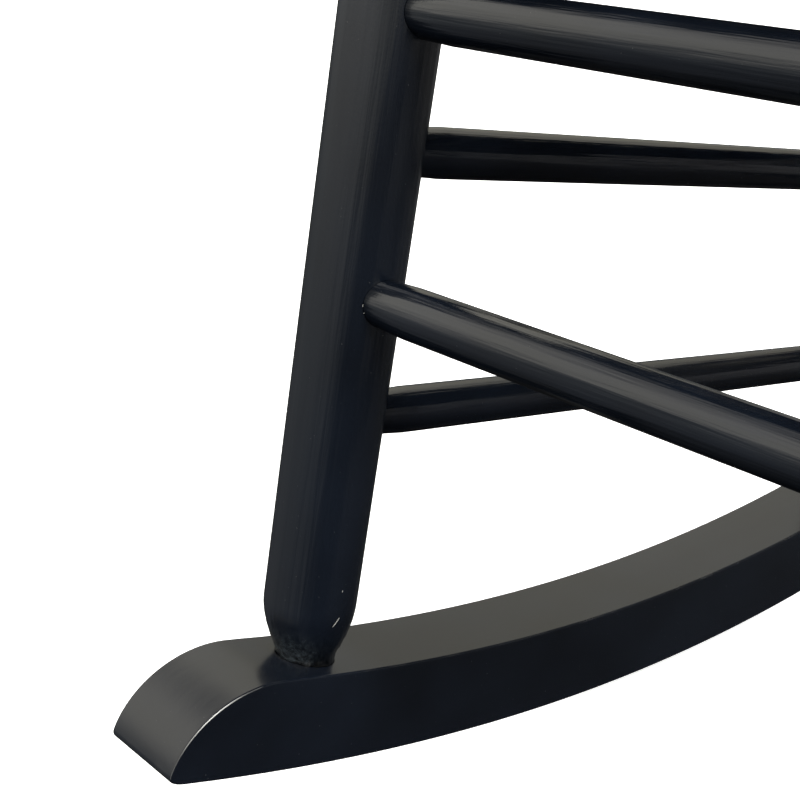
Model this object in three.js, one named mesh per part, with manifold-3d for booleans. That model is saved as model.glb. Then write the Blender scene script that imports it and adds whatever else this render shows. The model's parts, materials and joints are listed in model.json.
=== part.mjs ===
// A slat-back porch rocking chair in painted hardwood, in millimetres, +Z up.
//
// The chair is drawn in its own frame: X across, +Y to the back, +Z along the front legs, with the
// origin midway between the front leg axes, level with the tops of the rockers there. Last of all it
// is leaned back to the angle where the empty chair stands still, and stood on the floor at Z = 0.
import * as THREE from 'three';
import { mergeVertices } from 'three/addons/utils/BufferGeometryUtils.js';
import Module from 'manifold-3d';

const wasm = await Module();
wasm.setup();

const radians = THREE.MathUtils.degToRad;

// Whole chair
const LEG_X = 270;                  // leg and post axes, either side of the middle
const GAP = 0.3;                    // glue line round every piece that enters another
const CUTTER_REACH = 60;            // how far a cutting shape runs past the piece that it cuts
const REST_TILT = radians(12.1);    // lean of the front legs when the empty chair stands still

// Rockers: the sole is an arc, and every other point is measured from it
const SOLE = { y: 135.4, z: 1247.8, radius: 1301 };
const ROCKER_WIDTH = 46;
const ROCKER_DEPTH = 45.5;          // at the lowest point of the sole, with the legs upright
const ROCKER_DEPTH_GROWTH = 3;      // extra depth for each radian towards the tail
const TOE_ANGLE = radians(-9.78);
const TAIL_ANGLE = radians(27.8);
const FLAT_HALF_ANGLE = radians(1); // half of the flat that the chair stands on
const NOSE_LENGTH = 54;             // the bullnose is a quarter ellipse, this long and as high as the rocker
const TOE_BLUNTING = 5;             // height of the blunted corner between bullnose and sole, half its length

// Turned legs and posts
const NECK_RADIUS = 14;
const TENON_DEPTH = 24;
const FOOT_START = 3;               // bare neck above the rocker
const POST_FOOT_START = 8;          // longer, because the posts stand askew on the rockers
const FOOT_LENGTH = 26;
const LEG_FOOT_RADIUS = 21.45;
const LEG_RADIUS = 22.75;
const LEG_FULL_HEIGHT = 350;        // where the leg's slight swell ends
const POST_Y = 446;
const POST_LEAN = radians(5.5);     // against the front legs
const POST_FULL_HEIGHT = 620;
const POST_TOP_RADIUS = 17;
const POST_HEIGHT = 1125;

// Rungs
const RUNG_END = 8;                 // from the leg axis to the end of a rung
const RUNG_CHAMFER = 1;
const CROSS_RUNG_RADII = [11.4, 11.7];
const SIDE_RUNG_RADII = [10.9, 11.5];
const FRONT_RUNG_HEIGHTS = [171.7, 292.5];
const SIDE_RUNG_HEIGHTS = [115.1, 233.5];
const REAR_RUNG_HEIGHTS = [150, 262];
const SIDE_RUNG_RISE = radians(0.6);

// Seat
const SEAT_Z = 350;
const SEAT_RISE = radians(2.5);
const RAIL_THICKNESS = 22;
const RAIL_HEIGHT = 44;
const RAIL_END = 12;                // from the leg axis to the end of a rail
const SEAT_SLATS = 9;
const SEAT_SLAT_WIDTH = 42;
const SEAT_SLAT_THICKNESS = 13;
const SEAT_SLAT_HOUSING = 8;
const SEAT_FIRST_Y = 36;
const SEAT_LAST_Y = 444;
const SEAT_EDGE_Z = 20;             // top of the first and last slats above the rail centres
const SEAT_DIP = 12;

// Back, measured along the posts from the rocker tops
const BACK_RAIL_THICKNESS = 18;
const BACK_BOW = 22;                // how far the middle of the back stands behind the posts
const LOWER_RAIL_Z = 423;
const LOWER_RAIL_HEIGHT = 50;
const CREST_Z = 1020;
const CREST_HEIGHT = 92;
const CREST_ARCH = 26;
const BACK_SLATS = 7;
const BACK_SIDE_GAPS = 0.4;         // extra width of the two gaps beside the posts, in slat pitches
const BACK_SLAT_WIDTH = 46;
const BACK_SLAT_THICKNESS = 9;
const BACK_SLAT_HOUSING = 12;
const LUMBAR = 15;                  // forward curve of the back slats, greatest a third of the way up
const LUMBAR_SCALE = 1.7;           // brings the greatest value of sin(pi t) (1 - t) to about 1

// Arms
const ARM_Z = 545;                  // underside, at the front leg axis
const ARM_RISE = radians(3);
const ARM_THICKNESS = 22;
const ARM_FRONT = -58;
const ARM_INNER = 31;
const ARM_OUTER = 61;
const ARM_REAR_HALF = 22;
const ARM_CORNER = 28;
const ARM_TAPER = { start: 0.2, early: 0.6, late: 0.7 };  // where it starts and curves, of the arm's run
const ARM_BEVEL = 4;
const ARM_LEG_TENON = 8;
const ARM_POST_TENON_RADIUS = 8;
const ARM_POST_TENON_END = 8;       // from the post axis
const ARM_POST_TENON_ROOT = 50;     // overlap with the paddle, from the tenon's tip
const ARM_COPE = 13;                // where the coped end stops, from the post axis

// Fasteners
const SCREW = { radius: 2.5, headRadius: 5, headHeight: 3.5, tipLength: 4, tipRadius: 0.7 };
const BOLT = { radius: 3, headRadius: 7.5, headHeight: 2.5, tipLength: 1, tipRadius: 2.1 };
const HEAD_EDGE = { radius: 0.7, height: 0.4 };  // where a head's bevel ends and starts, of its full size
const BARREL = { radius: 5, length: 16 };
const PLUG = { radius: 6, length: 5, proud: 0.6 };
const BORE_REACH = 30;              // counterbores run out past the surface
const ROCKER_SCREW_LENGTH = 30;
const ROCKER_SCREW_Z = -36;         // head seat, below the rocker tops
const ARM_SCREW_LENGTH = 38;
const ARM_SCREW_Z = 2;              // head seat, above the middle of the arms
const POST_SCREW_LENGTH = 60;
const POST_SCREW_Y = 14;            // head seat, behind the post axis
const BOLT_LENGTH = 68;
const BOLT_SEAT = 17;               // head seat, from the leg axis
const BOLT_DROP = 11;               // below the rail centres, clear of the seat slats
const BARREL_INSET = 44;            // from the leg axis

// Facets
const LEG_SIDES = 24;
const RUNG_SIDES = 16;
const SCREW_SIDES = 10;
const FOOT_STEPS = 5;
const NOSE_STEPS = 8;
const SOLE_STEPS = { front: 10, rear: 8 };
const ROCKER_TOP_STEPS = 18;
const BOW_STEPS = 12;
const ARCH_STEPS = 14;

const PAINT = { color: 0x15171a, roughness: 0.42, metalness: 0 };
const STEEL = { color: 0x8d8f92, roughness: 0.35, metalness: 1 };

// ---- Helpers --------------------------------------------------------------------------------

function piece(name, geometry, finish = PAINT) {
  const mesh = new THREE.Mesh(geometry, new THREE.MeshStandardMaterial(finish));
  mesh.name = name;
  return mesh;
}

function shapeOf(points) {
  return new THREE.Shape(points.map(([x, y]) => new THREE.Vector2(x, y)));
}

// An outline drawn in X and Y, made thick along Z and centred on it.
function plate(shape, thickness, bevel = 0) {
  const geometry = new THREE.ExtrudeGeometry(shape, {
    depth: thickness - 2 * bevel,
    curveSegments: 8,
    bevelEnabled: bevel > 0,
    bevelThickness: bevel,
    bevelSize: bevel,
    bevelOffset: -bevel,
    bevelSegments: 2,
  });
  return geometry.translate(0, 0, bevel - thickness / 2);
}

// An outline drawn in Y and Z, seen from the side, with its width along X.
function sidePlate(points, width) {
  const geometry = plate(shapeOf(points), width);
  const turn = new THREE.Matrix4().makeBasis(
    new THREE.Vector3(0, 1, 0), new THREE.Vector3(0, 0, 1), new THREE.Vector3(1, 0, 0));
  return geometry.applyMatrix4(turn);
}

// A round piece along Z from a profile of [radius, height] points that starts and ends on the axis.
function turned(profile, sides) {
  const points = profile.map(([radius, height]) => new THREE.Vector2(radius, height));
  return new THREE.LatheGeometry(points, sides).rotateX(Math.PI / 2);
}

function rod(radius, from, to, sides, chamfer = 0) {
  const profile = [[0, from], [radius - chamfer, from]];
  if (chamfer > 0) {
    profile.push([radius, from + chamfer], [radius, to - chamfer]);
  }
  profile.push([radius - chamfer, to], [0, to]);
  return turned(profile, sides);
}

// The closed solid of a mesh, in the frame of another object.
function solidOf(mesh, frame) {
  const bare = new THREE.BufferGeometry();
  bare.setAttribute('position', mesh.geometry.getAttribute('position').clone());
  bare.setIndex(mesh.geometry.index);
  bare.applyMatrix4(frame.matrixWorld.clone().invert().multiply(mesh.matrixWorld));
  const merged = mergeVertices(bare);
  const index = merged.index.array;
  const triangles = [];
  for (let i = 0; i < index.length; i += 3) {
    const [a, b, c] = [index[i], index[i + 1], index[i + 2]];
    if (a !== b && b !== c && c !== a) {
      triangles.push(a, b, c);
    }
  }
  return new wasm.Manifold(new wasm.Mesh({
    numProp: 3,
    vertProperties: new Float32Array(merged.getAttribute('position').array),
    triVerts: new Uint32Array(triangles),
  }));
}

function geometryOf(solid) {
  const { vertProperties, triVerts } = solid.getMesh();
  const geometry = new THREE.BufferGeometry();
  geometry.setAttribute('position', new THREE.BufferAttribute(vertProperties, 3));
  geometry.setIndex(new THREE.BufferAttribute(triVerts, 1));
  const flat = geometry.toNonIndexed();
  flat.computeVertexNormals();
  return flat;
}

// Joins or cuts one piece with others, wherever each of them stands in the chair.
function combine(mesh, operation, tools) {
  let solid = solidOf(mesh, mesh);
  for (const tool of tools) {
    solid = solid[operation](solidOf(tool, mesh));
  }
  mesh.geometry = geometryOf(solid);
}

const cut = (mesh, ...tools) => combine(mesh, 'subtract', tools);
const join = (mesh, ...tools) => combine(mesh, 'add', tools);

// Puts an object into a group at a place, turned about X by an angle.
function place(group, object, x, y, z, turn = 0) {
  object.position.set(x, y, z);
  object.rotation.x = turn;
  group.add(object);
  object.updateWorldMatrix(true, false);
  return object;
}

// A shape that stands somewhere in a group, to cut or join with, but is no piece of its own.
function cutter(group, geometry, x, y, z, turn = 0) {
  const tool = place(group, new THREE.Mesh(geometry), x, y, z, turn);
  group.remove(tool);
  return tool;
}

// The same, standing exactly where a piece stands.
function cutterAt(mesh, geometry) {
  const tool = new THREE.Mesh(geometry);
  tool.matrixWorld.copy(mesh.matrixWorld);
  return tool;
}

const chair = new THREE.Group();
const sides = [['left', 1], ['right', -1]];  // the sitter's left is +X

// ---- Rockers --------------------------------------------------------------------------------

// A point at an angle round the sole's centre and a depth into the wood above the sole.
function rockerPoint(angle, depth) {
  const radius = SOLE.radius - depth;
  return [SOLE.y + radius * Math.sin(angle), SOLE.z - radius * Math.cos(angle)];
}

function rockerDepth(angle) {
  return ROCKER_DEPTH + ROCKER_DEPTH_GROWTH * angle;
}

function arcAngles(from, to, steps) {
  return Array.from({ length: steps + 1 }, (_, i) => from + ((to - from) * i) / steps);
}

// The bullnose at one end, from the sole up to the top face. Inward is +1 at the toe, -1 at the tail.
function bullnose(endAngle, inward) {
  const depth = rockerDepth(endAngle);
  const nose = arcAngles(Math.asin(TOE_BLUNTING / depth), Math.PI / 2, NOSE_STEPS).map((angle) =>
    new THREE.Vector2(NOSE_LENGTH * (1 - Math.cos(angle)), depth * Math.sin(angle)));
  const corner = new THREE.QuadraticBezierCurve(
    new THREE.Vector2(2 * TOE_BLUNTING, 0), new THREE.Vector2(0, 0), nose[0]);
  const outline = [...corner.getPoints(2).slice(0, -1), ...nose];
  return outline.map(({ x, y }) => rockerPoint(endAngle + (inward * x) / SOLE.radius, y));
}

function rockerOutline() {
  const nose = NOSE_LENGTH / SOLE.radius;
  const soleFront = arcAngles(TOE_ANGLE + nose / 2, REST_TILT - FLAT_HALF_ANGLE, SOLE_STEPS.front);
  const soleRear = arcAngles(REST_TILT + FLAT_HALF_ANGLE, TAIL_ANGLE - nose / 2, SOLE_STEPS.rear);
  const top = arcAngles(TAIL_ANGLE - nose, TOE_ANGLE + nose, ROCKER_TOP_STEPS).slice(1, -1);
  return [
    ...soleFront.map((angle) => rockerPoint(angle, 0)),
    ...soleRear.map((angle) => rockerPoint(angle, 0)),
    ...bullnose(TAIL_ANGLE, -1),
    ...top.map((angle) => rockerPoint(angle, rockerDepth(angle))),
    ...bullnose(TOE_ANGLE, 1).reverse(),
  ];
}

const rockers = sides.map(([side, sign]) =>
  place(chair, piece(`rocker_${side}`, sidePlate(rockerOutline(), ROCKER_WIDTH)), sign * LEG_X, 0, 0));

// Height of the rocker's top face at a place along it.
function rockerTop(y) {
  const angle = Math.asin((y - SOLE.y) / (SOLE.radius - ROCKER_DEPTH));
  return rockerPoint(angle, rockerDepth(angle))[1];
}

// ---- Front legs and back posts --------------------------------------------------------------

// The rounded end of a leg, from its neck out to the shaft, as [radius, distance from the end].
function roundedEnd(radius, start) {
  return arcAngles(0, Math.PI / 2, FOOT_STEPS).map((turn) => [
    NECK_RADIUS + (radius - NECK_RADIUS) * Math.sin(turn),
    start + (FOOT_LENGTH * turn) / (Math.PI / 2),
  ]);
}

function legProfile() {
  const tenonTop = ARM_Z + ARM_LEG_TENON;
  const head = roundedEnd(LEG_RADIUS, FOOT_START).reverse();
  return [
    [0, -TENON_DEPTH],
    [NECK_RADIUS, -TENON_DEPTH],
    ...roundedEnd(LEG_FOOT_RADIUS, FOOT_START),
    [LEG_RADIUS, LEG_FULL_HEIGHT],
    ...head.map(([radius, distance]) => [radius, ARM_Z - distance]),
    [NECK_RADIUS, tenonTop],
    [0, tenonTop],
  ];
}

function postProfile() {
  const dome = arcAngles(0, Math.PI / 2, FOOT_STEPS).map((turn) => [
    POST_TOP_RADIUS * Math.cos(turn),
    POST_HEIGHT - POST_TOP_RADIUS * (1 - Math.sin(turn)),
  ]);
  dome[dome.length - 1][0] = 0;
  return [
    [0, -TENON_DEPTH],
    [NECK_RADIUS, -TENON_DEPTH],
    ...roundedEnd(LEG_RADIUS, POST_FOOT_START),
    [LEG_RADIUS, POST_FULL_HEIGHT],
    ...dome,
  ];
}

// The back stands on the post feet and leans with the posts.
const back = place(chair, new THREE.Group(), 0, POST_Y, rockerTop(POST_Y), -POST_LEAN);

const legs = sides.map(([side, sign]) =>
  place(chair, piece(`front_leg_${side}`, turned(legProfile(), LEG_SIDES)), sign * LEG_X, 0, rockerTop(0)));
const posts = sides.map(([side, sign]) =>
  place(back, piece(`back_post_${side}`, turned(postProfile(), LEG_SIDES)), sign * LEG_X, 0, 0));

// How far a line from the front leg axis, at a height and rising at an angle, runs to the post axis.
function reachToPost(height, rise) {
  const lean = Math.tan(POST_LEAN);
  return (POST_Y + (height - rockerTop(POST_Y)) * lean) / (Math.cos(rise) - Math.sin(rise) * lean);
}

sides.forEach(([side, sign], i) => {
  const mortise = rod(NECK_RADIUS + GAP, -TENON_DEPTH - GAP, TENON_DEPTH, LEG_SIDES);
  cut(rockers[i],
    cutter(chair, mortise, sign * LEG_X, 0, rockerTop(0)),
    cutter(back, mortise, sign * LEG_X, 0, 0));
});

// ---- Rungs ----------------------------------------------------------------------------------

const levels = ['lower', 'upper'];

// A rung that starts at a place in a group and runs in a direction, let into legs or posts.
function addRung(name, radius, group, start, length, direction, receivers) {
  const rung = place(group, piece(name, rod(radius, 0, length, RUNG_SIDES, RUNG_CHAMFER)), ...start);
  rung.quaternion.setFromUnitVectors(new THREE.Vector3(0, 0, 1), direction);
  rung.updateWorldMatrix(true, false);
  const hole = cutterAt(rung, rod(radius + GAP, -GAP, length + GAP, RUNG_SIDES));
  receivers.forEach((receiver) => cut(receiver, hole));
}

const across = new THREE.Vector3(1, 0, 0);
const backward = new THREE.Vector3(0, Math.cos(SIDE_RUNG_RISE), Math.sin(SIDE_RUNG_RISE));
const crossRungLength = 2 * (LEG_X - RUNG_END);

levels.forEach((level, i) => {
  const left = RUNG_END - LEG_X;
  addRung(`front_rung_${level}`, CROSS_RUNG_RADII[i], chair, [left, 0, FRONT_RUNG_HEIGHTS[i]],
    crossRungLength, across, legs);
  addRung(`rear_rung_${level}`, CROSS_RUNG_RADII[i], back, [left, 0, REAR_RUNG_HEIGHTS[i]],
    crossRungLength, across, posts);
  sides.forEach(([side, sign], s) => {
    const height = SIDE_RUNG_HEIGHTS[i];
    const length = reachToPost(height, SIDE_RUNG_RISE) - 2 * RUNG_END;
    addRung(`side_rung_${level}_${side}`, SIDE_RUNG_RADII[i], chair, [sign * LEG_X, RUNG_END, height],
      length, backward, [legs[s], posts[s]]);
  });
});

// ---- Seat -----------------------------------------------------------------------------------

const seat = place(chair, new THREE.Group(), 0, 0, SEAT_Z, SEAT_RISE);
const seatBackY = reachToPost(SEAT_Z, SEAT_RISE);

function box(width, depth, height) {
  return new THREE.BoxGeometry(width, depth, height);
}

// A board in the seat frame that is let into the legs and posts at its full section.
function addRail(name, width, depth, x, y, receivers) {
  const rail = place(seat, piece(name, box(width, depth, RAIL_HEIGHT)), x, y, 0);
  const pocket = cutterAt(rail, box(width + 2 * GAP, depth + 2 * GAP, RAIL_HEIGHT + 2 * GAP));
  receivers.forEach((receiver) => cut(receiver, pocket));
  return rail;
}

const crossRailLength = 2 * (LEG_X - RAIL_END);
addRail('seat_front_rail', crossRailLength, RAIL_THICKNESS, 0, 0, legs);
addRail('seat_rear_rail', crossRailLength, RAIL_THICKNESS, 0, seatBackY, posts);
const sideRails = sides.map(([side, sign], i) =>
  addRail(`seat_side_rail_${side}`, RAIL_THICKNESS, seatBackY - 2 * RAIL_END,
    sign * LEG_X, seatBackY / 2, [legs[i], posts[i]]));

function seatSlat(grow) {
  const length = 2 * (LEG_X - RAIL_THICKNESS / 2 + SEAT_SLAT_HOUSING);
  return box(length + 2 * grow, SEAT_SLAT_WIDTH + 2 * grow, SEAT_SLAT_THICKNESS + 2 * grow);
}

// The slats follow a shallow dip from front to back, and their ends are housed in the side rails.
const seatSlats = [];
for (let i = 0; i < SEAT_SLATS; i += 1) {
  const along = i / (SEAT_SLATS - 1);
  const run = SEAT_LAST_Y - SEAT_FIRST_Y;
  const z = SEAT_EDGE_Z - SEAT_SLAT_THICKNESS / 2 - SEAT_DIP * Math.sin(Math.PI * along);
  const slope = (-SEAT_DIP * Math.PI * Math.cos(Math.PI * along)) / run;
  const slat = place(seat, piece(`seat_slat_${i + 1}`, seatSlat(0)),
    0, SEAT_FIRST_Y + along * run, z, Math.atan(slope));
  sideRails.forEach((rail) => cut(rail, cutterAt(slat, seatSlat(GAP))));
  seatSlats.push(slat);
}

// The end slats are notched round the legs and posts.
const notch = rod(LEG_RADIUS + 2 * GAP, SEAT_Z - CUTTER_REACH, SEAT_Z + CUTTER_REACH, LEG_SIDES);
sides.forEach(([, sign]) => {
  cut(seatSlats[0], cutter(chair, notch, sign * LEG_X, 0, 0));
  cut(seatSlats[SEAT_SLATS - 1], cutter(back, notch, sign * LEG_X, 0, 0));
});

// ---- Back -----------------------------------------------------------------------------------

// How far behind the posts the back is bowed at a place across it.
function bow(x) {
  return BACK_BOW * (1 - (x / LEG_X) ** 2);
}

// A bowed board across the back, drawn from above and grown by a clearance.
function bowedBoard(height, grow) {
  const end = LEG_X - RUNG_END + grow;
  const stations = arcAngles(-end, end, BOW_STEPS);
  const half = BACK_RAIL_THICKNESS / 2 + grow;
  const front = stations.map((x) => [x, bow(x) - half]);
  const rear = stations.map((x) => [x, bow(x) + half]).reverse();
  return plate(shapeOf([...front, ...rear]), height + 2 * grow);
}

function addBackRail(name, height, z) {
  const rail = place(back, piece(name, bowedBoard(height, 0)), 0, 0, z);
  posts.forEach((post) => cut(post, cutterAt(rail, bowedBoard(height, GAP))));
  return rail;
}

// The arched strip along the top of the crest, seen from the front.
function crestArch() {
  const end = LEG_X - 2 * LEG_RADIUS;
  const arch = arcAngles(end, -end, ARCH_STEPS).map((x) =>
    [x, CREST_HEIGHT / 2 + CREST_ARCH * Math.cos((Math.PI * x) / (2 * end)) ** 2]);
  return plate(shapeOf([[-end, 0], [end, 0], ...arch]), 4 * BACK_BOW).rotateX(Math.PI / 2);
}

const lowerRail = addBackRail('lower_back_rail', LOWER_RAIL_HEIGHT, LOWER_RAIL_Z);
const crest = addBackRail('crest_rail', CREST_HEIGHT, CREST_Z);
const crestTop = cutterAt(crest, bowedBoard(CREST_HEIGHT + 2 * CREST_ARCH, 0));
combine(crestTop, 'intersect', [cutterAt(crest, crestArch())]);
join(crest, crestTop);

// An upright slat with a lumbar curve, seen from the side, grown by a clearance.
function backSlat(length, grow) {
  const stations = arcAngles(-grow, length + grow, BOW_STEPS);
  const half = BACK_SLAT_THICKNESS / 2 + grow;
  const centre = (z) => {
    const along = z / length;
    return -LUMBAR_SCALE * LUMBAR * Math.sin(Math.PI * along) * (1 - along);
  };
  const front = stations.map((z) => [centre(z) - half, z]);
  const rear = stations.map((z) => [centre(z) + half, z]).reverse();
  return sidePlate([...front, ...rear], BACK_SLAT_WIDTH + 2 * grow);
}

const slatFoot = LOWER_RAIL_Z + LOWER_RAIL_HEIGHT / 2 - BACK_SLAT_HOUSING;
const slatHead = CREST_Z - CREST_HEIGHT / 2 + BACK_SLAT_HOUSING;
const slatPitch = (2 * (LEG_X - LEG_RADIUS)) / (BACK_SLATS + BACK_SIDE_GAPS);
for (let i = 0; i < BACK_SLATS; i += 1) {
  const x = (i - (BACK_SLATS - 1) / 2) * slatPitch;
  const slat = place(back, piece(`back_slat_${i + 1}`, backSlat(slatHead - slatFoot, 0)),
    x, bow(x), slatFoot);
  slat.rotation.z = Math.atan((-2 * BACK_BOW * x) / LEG_X ** 2);
  slat.updateWorldMatrix(true, false);
  const mortise = cutterAt(slat, backSlat(slatHead - slatFoot, GAP));
  cut(lowerRail, mortise);
  cut(crest, mortise);
}

// ---- Arms -----------------------------------------------------------------------------------

// The paddle seen from above, with its origin over the front leg and its outer edge towards sign.
function armShape(sign, rear) {
  const shape = new THREE.Shape();
  const inner = -sign * ARM_INNER;
  const outer = sign * ARM_OUTER;
  const half = sign * ARM_REAR_HALF;
  const corner = sign * ARM_CORNER;
  const { start, early, late } = ARM_TAPER;
  shape.moveTo(-half, rear);
  shape.bezierCurveTo(-half, rear * late, inner, rear * early, inner, rear * start);
  shape.lineTo(inner, ARM_FRONT + ARM_CORNER);
  shape.quadraticCurveTo(inner, ARM_FRONT, inner + corner, ARM_FRONT);
  shape.lineTo(outer - corner, ARM_FRONT);
  shape.quadraticCurveTo(outer, ARM_FRONT, outer, ARM_FRONT + ARM_CORNER);
  shape.lineTo(outer, rear * start);
  shape.bezierCurveTo(outer, rear * early, half, rear * late, half, rear);
  return shape;
}

// The arms slope up a little to the back, from the leg tops to the posts that they are coped round.
const armLevel = ARM_Z + ARM_THICKNESS / 2;
const armFrame = place(chair, new THREE.Group(), 0, 0, armLevel, ARM_RISE);
const armReach = reachToPost(armLevel, ARM_RISE);
const armRear = armReach - ARM_COPE;
const legSocket = rod(NECK_RADIUS + GAP, ARM_Z - CUTTER_REACH, ARM_Z + ARM_LEG_TENON + GAP, LEG_SIDES);
const postClearance = rod(LEG_RADIUS + GAP, ARM_Z - CUTTER_REACH, ARM_Z + CUTTER_REACH, LEG_SIDES);

// The round tenon at an arm's rear end, along Y in the arms' frame.
function armTenon(grow) {
  const tip = armReach - ARM_POST_TENON_END + grow;
  return rod(ARM_POST_TENON_RADIUS + grow, -tip, ARM_POST_TENON_ROOT - tip, RUNG_SIDES).rotateX(Math.PI / 2);
}

const arms = sides.map(([side, sign], i) => {
  const x = sign * LEG_X;
  const paddle = plate(armShape(sign, armRear), ARM_THICKNESS, ARM_BEVEL);
  const arm = place(armFrame, piece(`arm_${side}`, paddle), x, 0, 0);
  cut(arm, cutter(back, postClearance, x, 0, 0), cutter(chair, legSocket, x, 0, 0));
  join(arm, cutterAt(arm, armTenon(0)));
  cut(posts[i], cutterAt(arm, armTenon(GAP)));
  return arm;
});

// ---- Fasteners ------------------------------------------------------------------------------

const UP = 0;
const DOWN = Math.PI;
const BACKWARD = -Math.PI / 2;
const FORWARD = Math.PI / 2;

// A screw or bolt along Z: its head hangs below the origin and its shank runs up from it.
function fastener(kind, length) {
  return turned([
    [0, -kind.headHeight],
    [HEAD_EDGE.radius * kind.headRadius, -kind.headHeight],
    [kind.headRadius, -HEAD_EDGE.height * kind.headHeight],
    [kind.headRadius, 0],
    [kind.radius, 0],
    [kind.radius, length - kind.tipLength],
    [kind.tipRadius, length],
    [0, length],
  ], SCREW_SIDES);
}

// The counterbore and the hole for it.
function fastenerHole(kind, length) {
  return turned([
    [0, -BORE_REACH],
    [kind.headRadius + 2 * GAP, -BORE_REACH],
    [kind.headRadius + 2 * GAP, GAP],
    [kind.radius + GAP, GAP],
    [kind.radius + GAP, length + GAP],
    [0, length + GAP],
  ], SCREW_SIDES);
}

function addFastener(name, kind, length, group, [x, y, z], direction, receivers) {
  const mesh = place(group, piece(name, fastener(kind, length), STEEL), x, y, z, direction);
  receivers.forEach((receiver) => cut(receiver, cutterAt(mesh, fastenerHole(kind, length))));
}

// A cross dowel in a side rail that takes the end of a seat bolt.
function addBarrelNut(name, x, y, rail) {
  const along = rod(BARREL.radius, -BARREL.length / 2, BARREL.length / 2, SCREW_SIDES).rotateY(Math.PI / 2);
  const nut = place(seat, piece(name, along, STEEL), x, y, -BOLT_DROP);
  const thread = rod(BOLT.radius + GAP, -2 * BARREL.radius, 2 * BARREL.radius, SCREW_SIDES);
  cut(nut, cutter(seat, thread, x, y, -BOLT_DROP, BACKWARD));
  const inward = -Math.sign(x);
  const reach = BARREL.length / 2 + GAP + RAIL_THICKNESS;
  const bore = rod(BARREL.radius + GAP, 0, reach, SCREW_SIDES).rotateY((inward * Math.PI) / 2);
  cut(rail, cutter(seat, bore, x - inward * (BARREL.length / 2 + GAP), y, -BOLT_DROP));
}

// A wooden plug that hides an arm screw, standing a little proud.
function addPlug(name, x, arm) {
  const top = ARM_THICKNESS / 2 + PLUG.proud;
  const foot = top - PLUG.length;
  const plug = place(armFrame, piece(name, rod(PLUG.radius, foot, top, RUNG_SIDES, PLUG.proud)), x, 0, 0);
  cut(arm, cutterAt(plug, rod(PLUG.radius + GAP, foot - GAP, top + GAP, RUNG_SIDES)));
}

sides.forEach(([side, sign], i) => {
  const x = sign * LEG_X;
  const [leg, post, rail, rocker, arm] = [legs[i], posts[i], sideRails[i], rockers[i], arms[i]];
  addFastener(`rocker_screw_front_${side}`, SCREW, ROCKER_SCREW_LENGTH, chair,
    [x, 0, ROCKER_SCREW_Z], UP, [rocker, leg]);
  addFastener(`rocker_screw_rear_${side}`, SCREW, ROCKER_SCREW_LENGTH, back,
    [x, 0, ROCKER_SCREW_Z], UP, [rocker, post]);
  addFastener(`arm_screw_front_${side}`, SCREW, ARM_SCREW_LENGTH, armFrame,
    [x, 0, ARM_SCREW_Z], DOWN, [arm, leg]);
  addFastener(`arm_screw_rear_${side}`, SCREW, POST_SCREW_LENGTH, armFrame,
    [x, armReach + POST_SCREW_Y, 0], FORWARD, [post, arm]);
  addFastener(`seat_bolt_front_${side}`, BOLT, BOLT_LENGTH, seat,
    [x, -BOLT_SEAT, -BOLT_DROP], BACKWARD, [leg, rail]);
  addFastener(`seat_bolt_rear_${side}`, BOLT, BOLT_LENGTH, seat,
    [x, seatBackY + BOLT_SEAT, -BOLT_DROP], FORWARD, [post, rail]);
  addBarrelNut(`barrel_nut_front_${side}`, x, BARREL_INSET, rail);
  addBarrelNut(`barrel_nut_rear_${side}`, x, seatBackY - BARREL_INSET, rail);
  addPlug(`arm_plug_${side}`, x, arm);
});

// ---- The empty chair at rest on the floor -----------------------------------------------------

chair.rotation.x = -REST_TILT;
const extent = new THREE.Box3().setFromObject(chair, true);
const middle = extent.getCenter(new THREE.Vector3());
chair.position.set(-middle.x, -middle.y, -extent.min.z);

export default chair;
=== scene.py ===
"""A slat-back porch rocking chair in black paint: the looks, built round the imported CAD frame."""
import json
import math
import random

import bmesh
import bpy
from mathutils import Matrix, Vector, noise


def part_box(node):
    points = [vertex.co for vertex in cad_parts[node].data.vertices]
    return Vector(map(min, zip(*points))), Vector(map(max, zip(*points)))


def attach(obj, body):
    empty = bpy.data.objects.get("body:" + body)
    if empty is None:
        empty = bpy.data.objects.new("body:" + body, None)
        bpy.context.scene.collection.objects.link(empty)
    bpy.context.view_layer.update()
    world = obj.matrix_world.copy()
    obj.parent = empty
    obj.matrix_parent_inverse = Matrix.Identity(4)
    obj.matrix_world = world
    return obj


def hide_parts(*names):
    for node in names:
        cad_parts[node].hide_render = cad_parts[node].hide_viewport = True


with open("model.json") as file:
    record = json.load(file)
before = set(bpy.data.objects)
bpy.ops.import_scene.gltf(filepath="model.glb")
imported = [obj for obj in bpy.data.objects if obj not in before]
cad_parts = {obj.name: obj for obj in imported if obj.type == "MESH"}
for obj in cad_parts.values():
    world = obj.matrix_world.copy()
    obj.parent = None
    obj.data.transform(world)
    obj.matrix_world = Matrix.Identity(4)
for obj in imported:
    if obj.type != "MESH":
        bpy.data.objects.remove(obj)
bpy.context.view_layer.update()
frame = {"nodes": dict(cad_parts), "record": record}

MM = 0.001
SIDES = ("left", "right")            # the sitter's left is +X
LEVELS = ("lower", "upper")
ENDS = ("front", "rear")

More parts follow.
